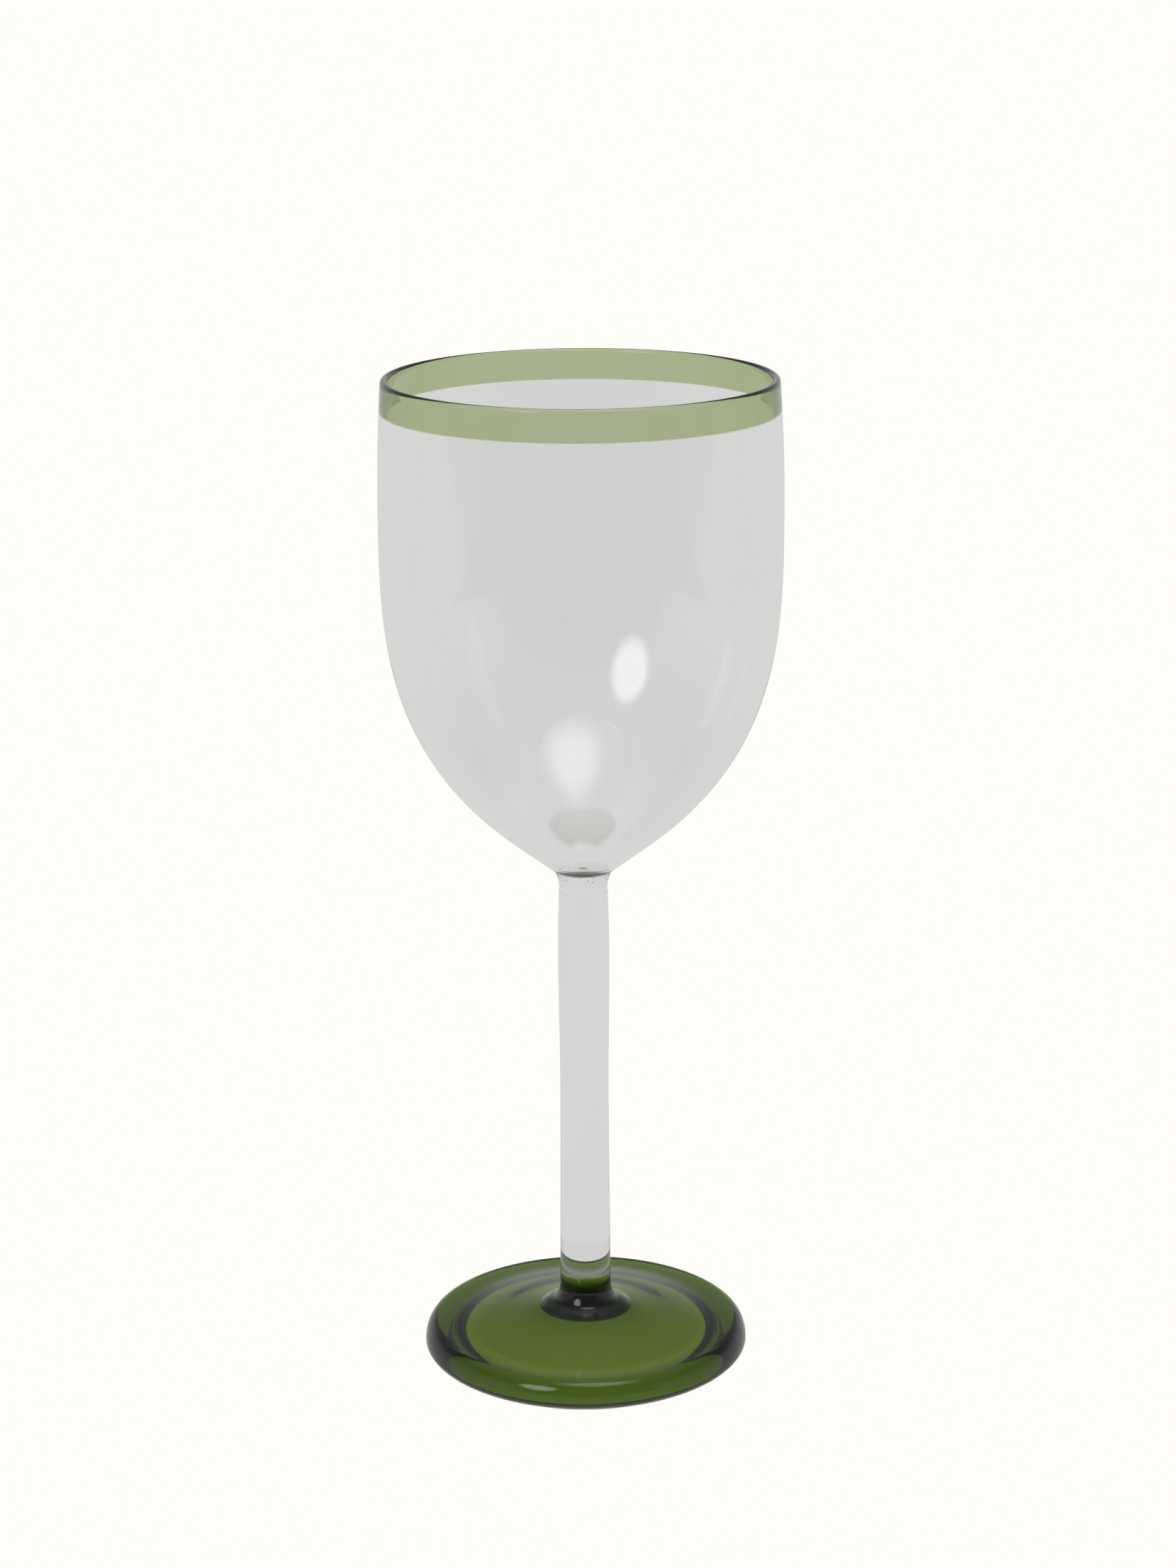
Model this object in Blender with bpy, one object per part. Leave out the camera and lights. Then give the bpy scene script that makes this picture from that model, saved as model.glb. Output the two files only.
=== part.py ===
"""Stemmed wine glass in clear and green glass, built as a glassblower welds it together.

Six pieces of glass stand on one axis. From the top: a green band drawn out to the lip, the clear
blown bowl, the clear gather that welds the bowl to the stem, the solid clear stem, the green hub
on the stem's end and the pressed green foot.

Metres, +Z up, with the origin at the centre of the foot's underside. Every piece is a turned
profile, written as (radius, height) points.
"""
import math

import bmesh
import bpy
import numpy as np

# Driving dimensions
TOTAL_HEIGHT = 0.220
FOOT_RADIUS = 0.03583
LIP_RADIUS = 0.0418
WALL = 0.0016
BAND_HEIGHT = 0.0068
WELD_HEIGHT = 0.1130
STEM_TOP = 0.1084
STEM_BOTTOM = 0.0171
JOINT_GAP = 0.0003

# The bowl's outer wall, from the weld up to where the lip starts to round over
BOWL_OUTLINE = (
    (0.0064, WELD_HEIGHT),
    (0.0109, 0.1165),
    (0.0202, 0.1240),
    (0.0294, 0.1340),
    (0.03725, 0.1480),
    (0.0420, 0.1680),
    (0.0428, 0.1880),
    (0.0425, 0.2060),
    (LIP_RADIUS, TOTAL_HEIGHT - WALL / 2),
)
BOWL_BASE_WALL = 0.0017
BOWL_FLOOR = ((0.0, 0.1141), (0.0050, 0.1142))
BOWL_FLOOR_EDGE = 0.0078

# The gather flares from the stem's neck to the bowl, and the stem swells a little at both ends
GATHER_OUTLINE = ((0.00526, STEM_TOP), (0.00531, 0.1100), (0.00569, 0.1116), (0.0062, WELD_HEIGHT))
STEM_OUTLINE = (
    (0.00562, STEM_BOTTOM),
    (0.0055, 0.0300),
    (0.00535, 0.0480),
    (0.00532, 0.0680),
    (0.00543, 0.1040),
    (0.00528, STEM_TOP),
)

# The hub flares out, steep at its neck and shallow at its toe, onto a low boss in mid foot
HUB_OUTLINE = (
    (0.0100, 0.0117),
    (0.0084, 0.0126),
    (0.0070, 0.0132),
    (0.0063, 0.0142),
    (0.00575, 0.0156),
    (0.00562, STEM_BOTTOM - JOINT_GAP),
)
HUB_PARTING = 0.0120

# The foot's top falls from the hub to the flat crown of its rim, which is full above and tucks
# under in a long curve to the narrow ring that the glass stands on
FOOT_TOP = ((0.0310, 0.0087), (0.0280, 0.0088), (0.0230, 0.0096), (0.0180, 0.0104), (0.0130, 0.01115))
RIM_MIDDLE = 0.0042
RIM_CREST = 0.0087
RIM_TOP_ROLL = 0.0029
RIM_UNDERCUT = 0.0113
UNDERCUT_START = -61

# Inside that ring the foot is hollow, with a ceiling that climbs gently to the axis
HOLLOW = (
    (0.0, 0.00635),
    (0.0060, 0.00595),
    (0.0120, 0.00535),
    (0.0180, 0.00465),
    (0.0240, 0.00385),
    (0.0268, 0.0034),
    (0.0283, 0.0019),
    (0.0289, 0.0008),
    (0.0293, 0.0),
)
CONTACT_WIDTH = 0.0010

WALL_SEGMENTS = 48
CORE_SEGMENTS = 32


def clear_scene():
    for item in list(bpy.data.objects):
        bpy.data.objects.remove(item, do_unlink=True)


def smooth_curve(points, count):
    """Evenly spaced points along the natural cubic spline through the given points."""
    knots = np.array(points, dtype=float)
    spans = np.linalg.norm(np.diff(knots, axis=0), axis=1)
    starts = np.concatenate(([0.0], np.cumsum(spans)))
    system = np.eye(len(knots))
    target = np.zeros_like(knots)
    for i in range(1, len(knots) - 1):
        before, after = spans[i - 1], spans[i]
        system[i, i - 1:i + 2] = before, 2 * (before + after), after
        target[i] = 6 * ((knots[i + 1] - knots[i]) / after - (knots[i] - knots[i - 1]) / before)
    bend = np.linalg.solve(system, target)
    curve = []
    for place in np.linspace(0.0, starts[-1], count):
        i = min(int(np.searchsorted(starts, place, side="right")) - 1, len(spans) - 1)
        a = (starts[i + 1] - place) / spans[i]
        b = 1.0 - a
        sag = ((a ** 3 - a) * bend[i] + (b ** 3 - b) * bend[i + 1]) * spans[i] ** 2 / 6
        curve.append(tuple(a * knots[i] + b * knots[i + 1] + sag))
    return curve


def arc(centre, radii, start, end, steps):
    """Points on an ellipse's arc; angles in degrees, 0 outward and 90 up."""
    angles = np.radians(np.linspace(start, end, steps + 1))
    return [(centre[0] + radii[0] * math.cos(a), centre[1] + radii[1] * math.sin(a)) for a in angles]


def inner_wall(outline):
    """The outline moved in by the wall, which is thicker towards the bowl's base."""
    line = np.array(outline)
    along = np.gradient(line, axis=0)
    along /= np.linalg.norm(along, axis=1)[:, None]
    inward = np.stack((-along[:, 1], along[:, 0]), axis=1)
    rise = np.clip((line[:, 1] - WELD_HEIGHT) / (0.45 * (TOTAL_HEIGHT - WELD_HEIGHT)), 0.0, 1.0)
    wall = BOWL_BASE_WALL + (WALL - BOWL_BASE_WALL) * rise
    return [tuple(point) for point in line + inward * wall[:, None]]


def cut_below(outline, height):
    """The part of a rising outline below the height, ended exactly at it."""
    radius = float(np.interp(height, [z for r, z in outline], [r for r, z in outline]))
    return [(r, z) for r, z in outline if z < height - JOINT_GAP] + [(radius, height)]


def cut_above(outline, height):
    """The part of a rising outline above the height, started exactly at it."""
    radius = float(np.interp(height, [z for r, z in outline], [r for r, z in outline]))
    return [(radius, height)] + [(r, z) for r, z in outline if z > height + JOINT_GAP]


def glass(name, colour, roughness=0.02):
    """Polished glass: a Principled surface that light passes through."""
    material = bpy.data.materials.new(name)
    material.use_nodes = True
    surface = material.node_tree.nodes["Principled BSDF"]
    surface.inputs["Base Color"].default_value = (*colour, 1.0)
    surface.inputs["Roughness"].default_value = roughness
    surface.inputs["Metallic"].default_value = 0.0
    surface.inputs["Transmission Weight"].default_value = 1.0
    surface.inputs["IOR"].default_value = 1.47
    return material


def turned(name, profile, segments, material):
    """A solid of revolution about Z from a closed profile; a point on the axis becomes a pole."""
    bm = bmesh.new()
    verts = [bm.verts.new((r, 0.0, z)) for r, z in profile]
    edges = [bm.edges.new(pair) for pair in zip(verts, verts[1:])]
    if profile[0][0] > 0.0:
        edges.append(bm.edges.new((verts[-1], verts[0])))
    bmesh.ops.spin(bm, geom=verts + edges, axis=(0, 0, 1), cent=(0, 0, 0),
                   angle=math.tau, steps=segments, use_merge=True)
    bmesh.ops.remove_doubles(bm, verts=bm.verts, dist=1e-6)
    bmesh.ops.recalc_face_normals(bm, faces=bm.faces)
    mesh = bpy.data.meshes.new(name)
    bm.to_mesh(mesh)
    bm.free()
    mesh.shade_smooth()
    mesh.set_sharp_from_angle(angle=math.radians(35))
    mesh.materials.append(material)
    piece = bpy.data.objects.new(name, mesh)
    bpy.context.scene.collection.objects.link(piece)
    return piece


def bowl_walls():
    """Outer and inner outlines of the whole bubble, band included, both rising to the lip."""
    outer = smooth_curve(BOWL_OUTLINE, 27)
    return outer, inner_wall(outer)


def make_rim_band():
    """Green ring fused to the bowl's edge, with a fire-polished, fully rounded lip."""
    outer, inner = bowl_walls()
    bottom = TOTAL_HEIGHT - BAND_HEIGHT
    lip_centre = (LIP_RADIUS - WALL / 2, TOTAL_HEIGHT - WALL / 2)
    lip = arc(lip_centre, (WALL / 2, WALL / 2), 0, 180, 6)
    outside = cut_above(outer, bottom)[:-1]
    inside = cut_above(inner, bottom)[:-1]
    profile = outside + lip + inside[::-1]
    return turned("rim_band", profile, WALL_SEGMENTS, glass("green_band_glass", (0.36, 0.55, 0.20)))


def make_bowl():
    """Clear bubble, open at the top, with a small flat floor right over the weld."""
    outer, inner = bowl_walls()
    top = TOTAL_HEIGHT - BAND_HEIGHT - JOINT_GAP
    outside = cut_below(outer, top)
    wall = [point for point in cut_below(inner, top) if point[0] > BOWL_FLOOR_EDGE]
    floor = smooth_curve(list(BOWL_FLOOR) + wall[:2], 9)
    inside = [(r, z) for r, z in floor if r < wall[0][0] - JOINT_GAP] + wall
    profile = [(0.0, WELD_HEIGHT)] + outside + inside[::-1]
    return turned("bowl", profile, WALL_SEGMENTS, glass("clear_bowl_glass", (0.93, 0.94, 0.93)))


def make_weld_gather():
    """Short flare of clear glass between the stem's end and the bowl's base."""
    outline = cut_below(smooth_curve(GATHER_OUTLINE, 7), WELD_HEIGHT - JOINT_GAP)
    profile = [(0.0, STEM_TOP)] + outline + [(0.0, outline[-1][1])]
    return turned("weld_gather", profile, CORE_SEGMENTS, glass("clear_weld_glass", (0.92, 0.94, 0.92)))


def make_stem():
    """Solid clear rod."""
    outline = cut_below(smooth_curve(STEM_OUTLINE, 15), STEM_TOP - JOINT_GAP)
    profile = [(0.0, STEM_BOTTOM)] + outline + [(0.0, outline[-1][1])]
    return turned("stem", profile, CORE_SEGMENTS, glass("clear_stem_glass", (0.93, 0.94, 0.93)))


def make_foot_hub():
    """Green gather that joins the stem to the foot."""
    flare = cut_above(smooth_curve(HUB_OUTLINE, 12), HUB_PARTING + JOINT_GAP)
    profile = [(0.0, flare[0][1])] + flare + [(0.0, flare[-1][1])]
    return turned("foot_hub", profile, CORE_SEGMENTS, glass("green_hub_glass", (0.13, 0.26, 0.04)))


def make_foot():
    """Pressed green disc: hollow underside, narrow standing ring, full rim, top rising to the hub."""
    hollow = smooth_curve(HOLLOW, 24)
    contact = [(HOLLOW[-1][0] + CONTACT_WIDTH, 0.0)]
    under = arc((FOOT_RADIUS - RIM_UNDERCUT, RIM_MIDDLE), (RIM_UNDERCUT, RIM_MIDDLE), UNDERCUT_START, 0, 8)
    crest = arc((FOOT_RADIUS - RIM_TOP_ROLL, RIM_MIDDLE), (RIM_TOP_ROLL, RIM_CREST - RIM_MIDDLE), 0, 90, 7)
    boss = cut_below(smooth_curve(HUB_OUTLINE, 12), HUB_PARTING)
    top = smooth_curve((crest[-1],) + FOOT_TOP + (boss[0],), 11)
    profile = hollow + contact + under + crest[1:] + top[1:-1] + boss + [(0.0, HUB_PARTING)]
    return turned("foot", profile, WALL_SEGMENTS, glass("green_foot_glass", (0.13, 0.26, 0.04)))


def main():
    clear_scene()
    make_rim_band()
    make_bowl()
    make_weld_gather()
    make_stem()
    make_foot_hub()
    make_foot()


main()
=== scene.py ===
"""Looks for the wine glass: six pieces of lampworked glass, in a plain pale studio.

Every piece is turned as a fine mesh from a profile of (radius, height) points, worked out from the
boxes of the CAD nodes, and bent a little by hand_made(). The pieces are one continuous melt, so
the faces where two of them meet carry weld = 1, where light passes without bending.
"""

import math

import bpy
import numpy as np
from mathutils import Matrix, Vector


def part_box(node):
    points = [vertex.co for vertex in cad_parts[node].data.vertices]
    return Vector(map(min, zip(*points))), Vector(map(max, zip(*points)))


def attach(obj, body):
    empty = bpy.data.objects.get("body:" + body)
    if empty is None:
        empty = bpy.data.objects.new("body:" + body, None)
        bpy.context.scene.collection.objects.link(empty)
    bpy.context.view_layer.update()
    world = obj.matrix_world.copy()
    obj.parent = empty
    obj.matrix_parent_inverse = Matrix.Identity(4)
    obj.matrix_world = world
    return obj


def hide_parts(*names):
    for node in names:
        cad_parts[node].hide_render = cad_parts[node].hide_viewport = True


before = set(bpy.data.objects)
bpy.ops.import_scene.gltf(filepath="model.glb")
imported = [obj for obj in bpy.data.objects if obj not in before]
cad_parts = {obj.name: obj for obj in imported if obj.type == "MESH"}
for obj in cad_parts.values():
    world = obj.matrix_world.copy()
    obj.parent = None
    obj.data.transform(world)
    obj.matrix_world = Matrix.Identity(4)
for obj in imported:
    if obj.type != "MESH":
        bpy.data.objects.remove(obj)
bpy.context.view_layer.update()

# Heights and radii that the CAD model sets
TOTAL_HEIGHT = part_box("rim_band")[1].z
BAND_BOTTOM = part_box("rim_band")[0].z
WELD_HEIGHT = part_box("bowl")[0].z
STEM_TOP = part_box("weld_gather")[0].z
STEM_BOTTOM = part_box("stem")[0].z
HUB_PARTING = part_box("foot")[1].z
FOOT_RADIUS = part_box("foot")[1].x
BOWL_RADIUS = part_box("bowl")[1].x

# Turning: steps round the axis, the gap left between fused pieces and the nearest that two points
# of a cut outline may lie, in metres
SEGMENTS = 224
WELD_GAP = 0.00001
CUT_MARGIN = 0.00005
SHARP_ANGLE = 40

# The bowl: its wall, its outer outline up to the lip, and the small floor over the weld
WALL = 0.0016
LIP_RADIUS = 0.0418
BOWL_BASE_WALL = 0.0017
BOWL_FLOOR = ((0.0, 0.1141), (0.0050, 0.1142))
BOWL_FLOOR_EDGE = 0.0078
BOWL_OUTLINE = (
    (0.0064, WELD_HEIGHT),
    (0.0109, 0.1165),
    (0.0202, 0.1240),
    (0.0294, 0.1340),
    (0.03725, 0.1480),
    (0.0420, 0.1680),
    (BOWL_RADIUS, 0.1880),
    (0.0425, 0.2060),
    (LIP_RADIUS, TOTAL_HEIGHT - WALL / 2),
)

# The gather flares from the stem's neck to the bowl, and the stem swells a little at both ends
GATHER_OUTLINE = ((0.00526, STEM_TOP), (0.00531, 0.1100), (0.00569, 0.1116), (0.0062, WELD_HEIGHT))
STEM_OUTLINE = (
    (0.00562, STEM_BOTTOM),
    (0.0055, 0.0300),
    (0.00535, 0.0480),
    (0.00532, 0.0680),
    (0.00543, 0.1040),
    (0.00528, STEM_TOP),
)

# The hub flares out, steep at its neck and shallow at its toe, onto a low boss in mid foot
HUB_OUTLINE = (
    (0.0100, 0.0117),
    (0.0084, 0.0126),
    (0.0070, 0.0132),
    (0.0063, 0.0142),
    (0.00575, 0.0156),
    (0.00562, STEM_BOTTOM),
)

# The foot's top falls from the hub to the flat crown of its rim, which is full above and tucks
# under in a long curve to the narrow ring that the glass stands on
FOOT_TOP = ((0.0310, 0.0087), (0.0280, 0.0088), (0.0230, 0.0096), (0.0180, 0.0104), (0.0130, 0.01115))
RIM_MIDDLE = 0.0042
RIM_CREST = 0.0087
RIM_TOP_ROLL = 0.0029
RIM_UNDERCUT = 0.0113
UNDERCUT_START = -61

# Inside that ring the foot is hollow, with a ceiling that climbs gently to the axis
HOLLOW = (
    (0.0, 0.00635),
    (0.0060, 0.00595),
    (0.0120, 0.00535),
    (0.0180, 0.00465),
    (0.0240, 0.00385),
    (0.0268, 0.0034),
    (0.0283, 0.0019),
    (0.0289, 0.0008),
    (0.0293, 0.0),
)
CONTACT_WIDTH = 0.0010

# Bubbles trapped in the weld under the bowl
SEED_COUNT = 26
SEED_RING = 0.0050
SEED_DEPTH = 0.0012
SEED_SIZE = 0.00013
SEED_SIDES = 10
SEED_TILTS = (-60, -20, 20, 60)

# Light absorbed per metre of green glass, as a density and the colour that it spares
THIN_GREEN = (620.0, (0.48, 0.605, 0.11))
THICK_GREEN = (800.0, (0.64, 0.735, 0.12))
GLASS_IOR = 1.47

SMUDGE_SCALE = 60.0
SMUDGE_ROUGHNESS = 0.02

# The studio, as linear radiance, with heights as the sine of the elevation
BACKGROUND = (1.0, 0.982, 0.939)
ROOM = 0.665
SWEEP_TOP = (0.09, 0.5)
DIM_WALL = 0.30
CEILING_RISE = (0.6, 0.9)
CEILING = 0.5
DARKEST = 0.30

# Oval patches of the surroundings: azimuth, elevation, half width, half height, softness; then
# the radiance that each one adds
CAMERA_SIDE = ((0, 5, 50, 20, 0.3), -0.5)
WINDOW = ((-35.5, 27.5, 11.5, 12, 0.3), 3.9)
LAMP = ((15, 67, 16, 14, 0.6), 2.4)

# The floor's painted light, an emission that stands in for light on the paper and fades to painted
# shade towards the camera, and its reflectance
PAPER = (1.0, 0.995, 0.99)
PAPER_WHITENESS = 0.15
PAINTED_SHADE_FADE = (-0.55, -0.25)
PAINTED_FLOOR_LIGHT = (0.28, 0.575)
FLOOR_RADIUS = 30.0
FLOOR_DROP = 0.0001

# The camera, in millimetres, degrees and metres
LENS = 80.82
PITCH = 15.46
ROLL = -0.31
CAMERA_PLACE = (0.00114, -0.7285, 0.3336)


# ---------------------------------------------------------------------------------- profiles

def smooth_curve(points, count):
    """Evenly spaced points along the natural cubic spline through the given points."""
    knots = np.array(points, dtype=float)
    spans = np.linalg.norm(np.diff(knots, axis=0), axis=1)
    starts = np.concatenate(([0.0], np.cumsum(spans)))
    system = np.eye(len(knots))
    target = np.zeros_like(knots)
    for i in range(1, len(knots) - 1):
        before, after = spans[i - 1], spans[i]
        system[i, i - 1:i + 2] = before, 2 * (before + after), after
        target[i] = 6 * ((knots[i + 1] - knots[i]) / after - (knots[i] - knots[i - 1]) / before)
    bend = np.linalg.solve(system, target)
    curve = []
    for place in np.linspace(0.0, starts[-1], count):
        i = min(int(np.searchsorted(starts, place, side="right")) - 1, len(spans) - 1)
        a = (starts[i + 1] - place) / spans[i]
        b = 1.0 - a
        sag = ((a ** 3 - a) * bend[i] + (b ** 3 - b) * bend[i + 1]) * spans[i] ** 2 / 6
        curve.append(tuple(a * knots[i] + b * knots[i + 1] + sag))
    return curve


def arc(centre, radii, start, end, steps):
    """Points on an ellipse's arc; angles in degrees, 0 outward and 90 up."""
    angles = np.radians(np.linspace(start, end, steps + 1))
    return [(centre[0] + radii[0] * math.cos(a), centre[1] + radii[1] * math.sin(a)) for a in angles]


def inner_wall(outline):
    """The outline moved in by the wall, which is thicker towards the bowl's base."""
    line = np.array(outline)
    along = np.gradient(line, axis=0)
    along /= np.linalg.norm(along, axis=1)[:, None]
    inward = np.stack((-along[:, 1], along[:, 0]), axis=1)
    rise = np.clip((line[:, 1] - WELD_HEIGHT) / (0.45 * (TOTAL_HEIGHT - WELD_HEIGHT)), 0.0, 1.0)
    wall = BOWL_BASE_WALL + (WALL - BOWL_BASE_WALL) * rise
    return [tuple(point) for point in line + inward * wall[:, None]]


def radius_at(outline, height):
    return float(np.interp(height, [z for r, z in outline], [r for r, z in outline]))


def cut(outline, low, high):
    """The part of a rising outline between two heights, ended exactly at them."""
    middle = [(r, z) for r, z in outline if low + CUT_MARGIN < z < high - CUT_MARGIN]
    return [(radius_at(outline, low), low)] + middle + [(radius_at(outline, high), high)]


def bowl_walls():
    """Outer and inner outlines of the whole bubble, band included, both rising to the lip."""
    outer = smooth_curve(BOWL_OUTLINE, 130)
    return outer, inner_wall(outer)


# ------------------------------------------------------------------------------------ meshes

def hand_made(place):
    """What hand work leaves: a bowl and a foot that are never quite round or level."""
    x, y, z = place.T
    radius = np.hypot(x, y)
    angle = np.arctan2(y, x)
    in_bowl = np.clip((z - 0.125) / 0.05, 0.0, 1.0)
    oval = 0.0013 * (1.0 - np.cos(2 * angle + 0.7)) + 0.0006 * (1.0 + np.sin(3 * angle + 1.9))
    ripple = 0.0005 * (1.0 + np.sin(5 * angle + 90.0 * z))
    ripple = ripple + 0.0003 * (1.0 + np.sin(9 * angle - 160.0 * z))
    shrink = 1.0 - in_bowl * (oval + ripple)
    in_foot = np.clip((radius - 0.012) / 0.02, 0.0, 1.0) * (z < HUB_PARTING)
    sunk = 1.0 - in_foot * 0.022 * (1.0 - np.sin(angle + 0.5)) / 2
    return np.stack((x * shrink, y * shrink, z * sunk), axis=1)


def bubble(places, faces, centre, size):
    """A seed in the glass: a small closed hollow, so its faces turn inward."""
    x, y, z = centre
    start = len(places)
    turns = np.linspace(0.0, math.tau, SEED_SIDES, endpoint=False)
    for tilt in np.radians(SEED_TILTS):
        reach, lift = size * math.cos(tilt), size * math.sin(tilt)
        places.extend((x + reach * math.cos(a), y + reach * math.sin(a), z + lift) for a in turns)
    bottom = len(places)
    top = bottom + 1
    last_row = bottom - SEED_SIDES
    places.extend(((x, y, z - size), (x, y, z + size)))
    for k in range(SEED_SIDES):
        n = (k + 1) % SEED_SIDES
        faces.append([bottom, start + k, start + n])
        faces.append([top, last_row + n, last_row + k])
        for row in range(start, last_row, SEED_SIDES):
            above = row + SEED_SIDES
            faces.append([row + k, above + k, above + n, row + n])


def turned(name, profile, welds, node, material, seeds=()):
    """A closed solid of revolution that replaces a CAD node.

    welds lists the profile spans fused to a neighbour, and seeds the bubbles inside the piece.
    """
    count = len(profile)
    angles = np.linspace(0.0, math.tau, SEGMENTS, endpoint=False)
    places, rings = [], []
    for r, z in profile:
        start = len(places)
        if r == 0.0:
            rings.append([start] * SEGMENTS)
            places.append((0.0, 0.0, z))
        else:
            rings.append(list(range(start, start + SEGMENTS)))
            places.extend((r * math.cos(a), r * math.sin(a), z) for a in angles)
    spans = [(i, i + 1) for i in range(count - 1)]
    if profile[0][0] > 0.0:
        spans.append((count - 1, 0))
    faces, fused = [], []
    for low, high in spans:
        for k in range(SEGMENTS):
            n = (k + 1) % SEGMENTS
            corners = [rings[low][k], rings[low][n], rings[high][n], rings[high][k]]
            faces.append(list(dict.fromkeys(corners)))
            fused.append(1.0 if low in welds else 0.0)
    for centre, size in seeds:
        bubble(places, faces, centre, size)
    fused.extend([0.0] * (len(faces) - len(fused)))
    mesh = bpy.data.meshes.new(name)
    mesh.from_pydata(hand_made(np.array(places)).tolist(), [], faces)
    mesh.attributes.new("weld", "FLOAT", "FACE").data.foreach_set("value", fused)
    mesh.shade_smooth()
    mesh.set_sharp_from_angle(angle=math.radians(SHARP_ANGLE))
    mesh.materials.append(material)
    mesh.validate()
    piece = bpy.data.objects.new(name, mesh)
    bpy.context.scene.collection.objects.link(piece)
    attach(piece, "root")
    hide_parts(node)
    return piece


def make_rim_band(material):
    """Green ring fused to the bowl's edge, with a fire-polished, fully rounded lip."""
    outer, inner = bowl_walls()
    top = TOTAL_HEIGHT - WALL / 2
    lip = arc((LIP_RADIUS - WALL / 2, top), (WALL / 2, WALL / 2), 0, 180, 16)
    outside = cut(outer, BAND_BOTTOM, top)[:-1]
    inside = cut(inner, BAND_BOTTOM, min(top, inner[-1][1]))[:-1]
    profile = outside + lip + inside[::-1]
    welds = {len(profile) - 1}
    return turned("rim_band_glass", profile, welds, "rim_band", material)


def make_bowl(material):
    """Clear bubble, open at the top, with a small flat floor right over the weld."""
    outer, inner = bowl_walls()
    top = BAND_BOTTOM - WELD_GAP
    outside = cut(outer, WELD_HEIGHT, top)
    wall = [point for point in cut(inner, inner[0][1], top) if point[0] > BOWL_FLOOR_EDGE]
    floor = smooth_curve(list(BOWL_FLOOR) + wall[:2], 40)
    inside = [(r, z) for r, z in floor if r < wall[0][0] - 0.0001] + wall
    profile = [(0.0, WELD_HEIGHT)] + outside + inside[::-1]
    return turned("bowl_glass", profile, {0, len(outside)}, "bowl", material)


def weld_seeds():
    """The ring of tiny bubbles trapped where the bowl was stuck onto the stem."""
    seeds = []
    for k in range(SEED_COUNT):
        angle = math.tau * (k + 0.3 * math.sin(5.1 * k)) / SEED_COUNT
        reach = SEED_RING * (1.0 + 0.03 * math.sin(3.7 * k))
        height = WELD_HEIGHT - SEED_DEPTH + 0.00015 * math.sin(2.3 * k)
        size = SEED_SIZE * (1.0 + 0.4 * math.sin(7.9 * k))
        seeds.append(((reach * math.cos(angle), reach * math.sin(angle), height), size))
    return seeds


def make_rod(name, outline, low, high, node, material, seeds=()):
    """A solid piece on the axis, fused at both ends."""
    side = cut(outline, low, high)
    profile = [(0.0, low)] + side + [(0.0, high)]
    return turned(name, profile, {0, len(side)}, node, material, seeds)


def make_foot(material):
    """Pressed green disc: hollow underside, narrow standing ring, full rim, top rising to the hub."""
    hollow = smooth_curve(HOLLOW, 90)
    contact = [(HOLLOW[-1][0] + CONTACT_WIDTH, 0.0)]
    centre = (FOOT_RADIUS - RIM_UNDERCUT, RIM_MIDDLE)
    under = arc(centre, (RIM_UNDERCUT, RIM_MIDDLE), UNDERCUT_START, 0, 24)
    centre = (FOOT_RADIUS - RIM_TOP_ROLL, RIM_MIDDLE)
    crest = arc(centre, (RIM_TOP_ROLL, RIM_CREST - RIM_MIDDLE), 0, 90, 20)
    hub = smooth_curve(HUB_OUTLINE, 60)
    boss = cut(hub, hub[0][1], HUB_PARTING - WELD_GAP)
    top = smooth_curve((crest[-1],) + FOOT_TOP + (boss[0],), 60)
    profile = hollow + contact + under + crest[1:] + top[1:-1] + boss + [(0.0, boss[-1][1])]
    return turned("foot_glass", profile, {len(profile) - 2}, "foot", material)


# --------------------------------------------------------------------------------- materials

class Nodes:
    """Short names for the shader nodes used here."""

    def __init__(self, tree):
        self.tree = tree

    def add(self, kind, inputs=(), **settings):
        node = self.tree.nodes.new(kind)
        for key, value in settings.items():
            setattr(node, key, value)
        for key, value in dict(inputs).items():
            self.put(node.inputs[key], value)
        return node

    def put(self, socket, value):
        if isinstance(value, bpy.types.NodeSocket):
            self.tree.links.new(value, socket)
        else:
            socket.default_value = value

    def math(self, operation, *values):
        return self.add("ShaderNodeMath", enumerate(values), operation=operation).outputs[0]

    def dot(self, vector, axis):
        node = self.add("ShaderNodeVectorMath", {0: vector, 1: axis}, operation="DOT_PRODUCT")
        return node.outputs["Value"]

    def smooth(self, value, low, high, to_low=0.0, to_high=1.0):
        node = self.add("ShaderNodeMapRange", {0: value, 1: low, 2: high, 3: to_low, 4: to_high})
        node.interpolation_type = "SMOOTHSTEP"
        return node.outputs[0]


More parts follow.
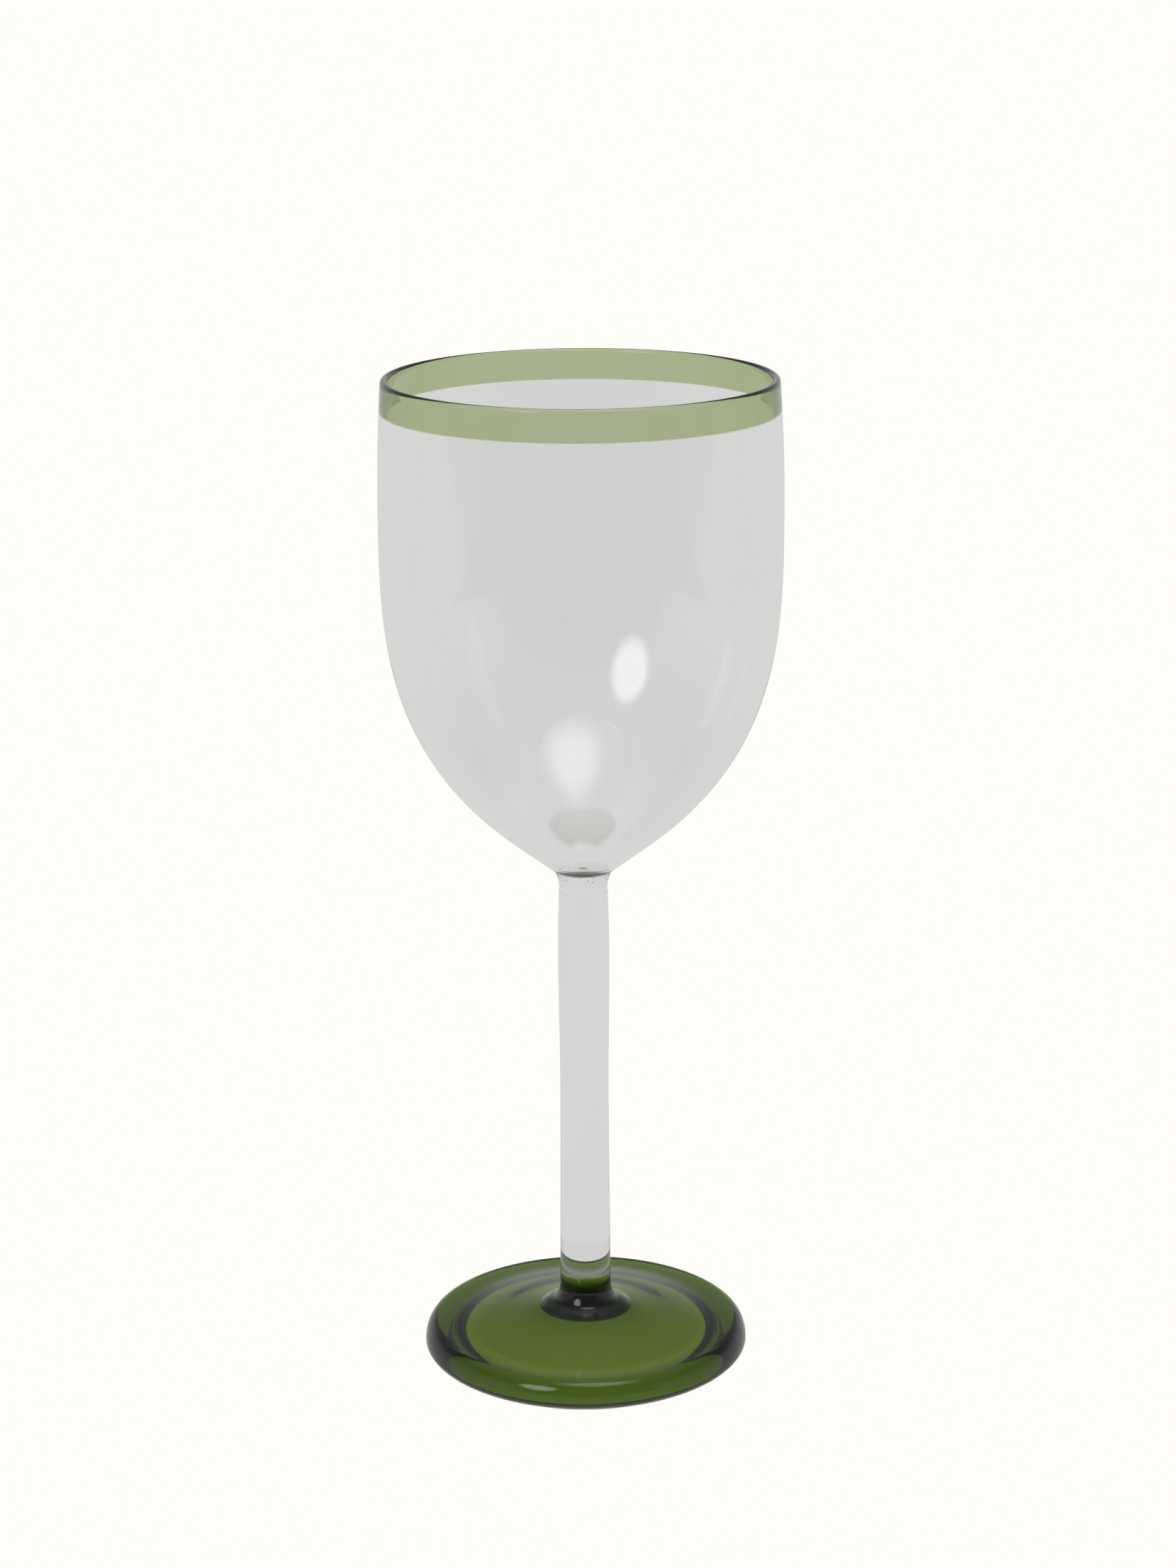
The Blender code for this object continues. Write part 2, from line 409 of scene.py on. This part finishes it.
def glass(name, green=None):
    """Hand-worked glass: clean and clear, with a few faint smudges and no colour of its own on the
    surface; a green melt takes its colour from the depth that light crosses."""
    material = bpy.data.materials.new(name)
    material.use_nodes = True
    nodes = Nodes(material.node_tree)
    surface = material.node_tree.nodes["Principled BSDF"]
    surface.inputs["Transmission Weight"].default_value = 1.0
    surface.inputs["Base Color"].default_value = (1.0, 1.0, 1.0, 1.0)
    place = nodes.add("ShaderNodeTexCoord").outputs["Object"]
    weld = nodes.add("ShaderNodeAttribute", attribute_name="weld").outputs["Fac"]
    ior = nodes.math("MULTIPLY_ADD", weld, 1.0 - GLASS_IOR, GLASS_IOR)
    nodes.put(surface.inputs["IOR"], ior)
    smudge = nodes.add("ShaderNodeTexNoise", {"Vector": place, "Scale": SMUDGE_SCALE, "Detail": 3.0})
    rough = nodes.smooth(smudge.outputs["Fac"], 0.5, 0.8, 0.0, SMUDGE_ROUGHNESS)
    unfused = nodes.math("SUBTRACT", 1.0, weld)
    nodes.put(surface.inputs["Roughness"], nodes.math("MULTIPLY", rough, unfused))
    if green:
        volume = nodes.add("ShaderNodeVolumeAbsorption")
        volume.inputs["Density"].default_value = green[0]
        volume.inputs["Color"].default_value = (*green[1], 1.0)
        output = material.node_tree.nodes["Material Output"]
        nodes.put(output.inputs["Volume"], volume.outputs[0])
    return material


# ------------------------------------------------------------------------------------ studio

def direction(azimuth, elevation):
    """Unit vector for an azimuth from the camera's side (-Y) towards +X, and an elevation."""
    azimuth, elevation = math.radians(azimuth), math.radians(elevation)
    flat = math.cos(elevation)
    return Vector((math.sin(azimuth) * flat, -math.cos(azimuth) * flat, math.sin(elevation)))


def patch(nodes, ray, azimuth, elevation, half_width, half_height, softness):
    """1 inside an oval patch of the surroundings and 0 outside it; the halves are in degrees."""
    ahead = direction(azimuth, elevation)
    right = Vector((0, 0, 1)).cross(ahead).normalized()
    up = ahead.cross(right)
    depth = nodes.dot(ray, ahead)
    reach = nodes.math("MULTIPLY", depth, math.tan(math.radians(half_width)))
    across = nodes.math("DIVIDE", nodes.dot(ray, right), reach)
    reach = nodes.math("MULTIPLY", depth, math.tan(math.radians(half_height)))
    along = nodes.math("DIVIDE", nodes.dot(ray, up), reach)
    square = nodes.math("ADD", nodes.math("POWER", across, 2.0), nodes.math("POWER", along, 2.0))
    far = nodes.math("SQRT", square)
    mask = nodes.smooth(far, 1.0 + softness, 1.0 - softness)
    return nodes.math("MULTIPLY", mask, nodes.math("GREATER_THAN", depth, 0.0))


def make_world():
    """Even pale room with a window to one side, a soft lamp overhead and a dim wall by the camera.
    The camera itself sees a plain background."""
    world = bpy.data.worlds.new("studio")
    bpy.context.scene.world = world
    world.use_nodes = True
    nodes = Nodes(world.node_tree)
    ray = nodes.add("ShaderNodeTexCoord").outputs["Generated"]
    rise = nodes.dot(ray, (0.0, 0.0, 1.0))
    level = nodes.smooth(rise, *SWEEP_TOP, ROOM, DIM_WALL)
    level = nodes.math("ADD", level, nodes.smooth(rise, *CEILING_RISE, 0.0, CEILING - DIM_WALL))
    level = nodes.math("MULTIPLY_ADD", patch(nodes, ray, *CAMERA_SIDE[0]), CAMERA_SIDE[1], level)
    level = nodes.math("MAXIMUM", level, DARKEST)
    for place, radiance in (WINDOW, LAMP):
        level = nodes.math("MULTIPLY_ADD", patch(nodes, ray, *place), radiance, level)
    tint = nodes.add("ShaderNodeCombineColor", {0: level, 1: level, 2: level})
    room = world.node_tree.nodes["Background"]
    nodes.put(room.inputs["Color"], tint.outputs[0])
    seen = nodes.add("ShaderNodeBackground", {"Color": (*BACKGROUND, 1.0)})
    camera_ray = nodes.add("ShaderNodeLightPath").outputs["Is Camera Ray"]
    mix = nodes.add("ShaderNodeMixShader", {0: camera_ray, 1: room.outputs[0], 2: seen.outputs[0]})
    nodes.put(world.node_tree.nodes["World Output"].inputs["Surface"], mix.outputs[0])


def make_floor():
    """Pale floor just under the foot; the camera sees it as the same plain background."""
    bpy.ops.mesh.primitive_circle_add(vertices=96, radius=FLOOR_RADIUS, fill_type="NGON",
                                      location=(0, 0, -FLOOR_DROP))
    floor = bpy.context.object
    floor.name = "floor"
    material = bpy.data.materials.new("pale_floor")
    material.use_nodes = True
    nodes = Nodes(material.node_tree)
    paper = nodes.add("ShaderNodeBsdfDiffuse", {"Color": (*[PAPER_WHITENESS] * 3, 1.0)})
    place = nodes.add("ShaderNodeTexCoord").outputs["Object"]
    depth = nodes.add("ShaderNodeSeparateXYZ", {0: place}).outputs[1]
    # Painted light: the floor glows though it is no lamp, and the glow fades towards the camera as
    # painted shade
    painted_light_node = nodes.add("ShaderNodeEmission", {"Color": (*PAPER, 1.0)})
    nodes.put(painted_light_node.inputs["Strength"], nodes.smooth(depth, *PAINTED_SHADE_FADE, *PAINTED_FLOOR_LIGHT))
    lit = nodes.add("ShaderNodeAddShader", {0: paper.outputs[0], 1: painted_light_node.outputs[0]})
    seen = nodes.add("ShaderNodeEmission", {"Color": (*BACKGROUND, 1.0)})
    camera_ray = nodes.add("ShaderNodeLightPath").outputs["Is Camera Ray"]
    mix = nodes.add("ShaderNodeMixShader", {0: camera_ray, 1: lit.outputs[0], 2: seen.outputs[0]})
    nodes.put(material.node_tree.nodes["Material Output"].inputs["Surface"], mix.outputs[0])
    floor.data.materials.append(material)


def make_camera():
    """A viewpoint in front and a little above, with a slight roll."""
    lens = bpy.data.cameras.new("camera")
    lens.lens = LENS
    lens.clip_start = 0.01
    camera = bpy.data.objects.new("camera", lens)
    pitch = Matrix.Rotation(math.radians(90 - PITCH), 4, "X")
    roll = Matrix.Rotation(math.radians(ROLL), 4, "Z")
    camera.matrix_world = Matrix.Translation(CAMERA_PLACE) @ pitch @ roll
    bpy.context.scene.collection.objects.link(camera)
    bpy.context.scene.camera = camera


def main():
    scene = bpy.context.scene
    scene.view_settings.view_transform = "Standard"
    scene.cycles.max_bounces = 40
    scene.cycles.transmission_bounces = 40
    scene.cycles.glossy_bounces = 24
    make_camera()
    make_world()
    make_floor()
    make_rim_band(glass("green_band_glass", THIN_GREEN))
    make_bowl(glass("clear_bowl_glass"))
    gather = smooth_curve(GATHER_OUTLINE, 40)
    make_rod("weld_gather_glass", gather, STEM_TOP, WELD_HEIGHT - WELD_GAP,
             "weld_gather", glass("clear_weld_glass"), weld_seeds())
    stem = smooth_curve(STEM_OUTLINE, 90)
    make_rod("stem_glass", stem, STEM_BOTTOM, STEM_TOP - WELD_GAP,
             "stem", glass("clear_stem_glass"))
    hub = smooth_curve(HUB_OUTLINE, 60)
    make_rod("foot_hub_glass", hub, HUB_PARTING, STEM_BOTTOM - WELD_GAP,
             "foot_hub", glass("green_hub_glass", THICK_GREEN))
    make_foot(glass("green_foot_glass", THICK_GREEN))


main()
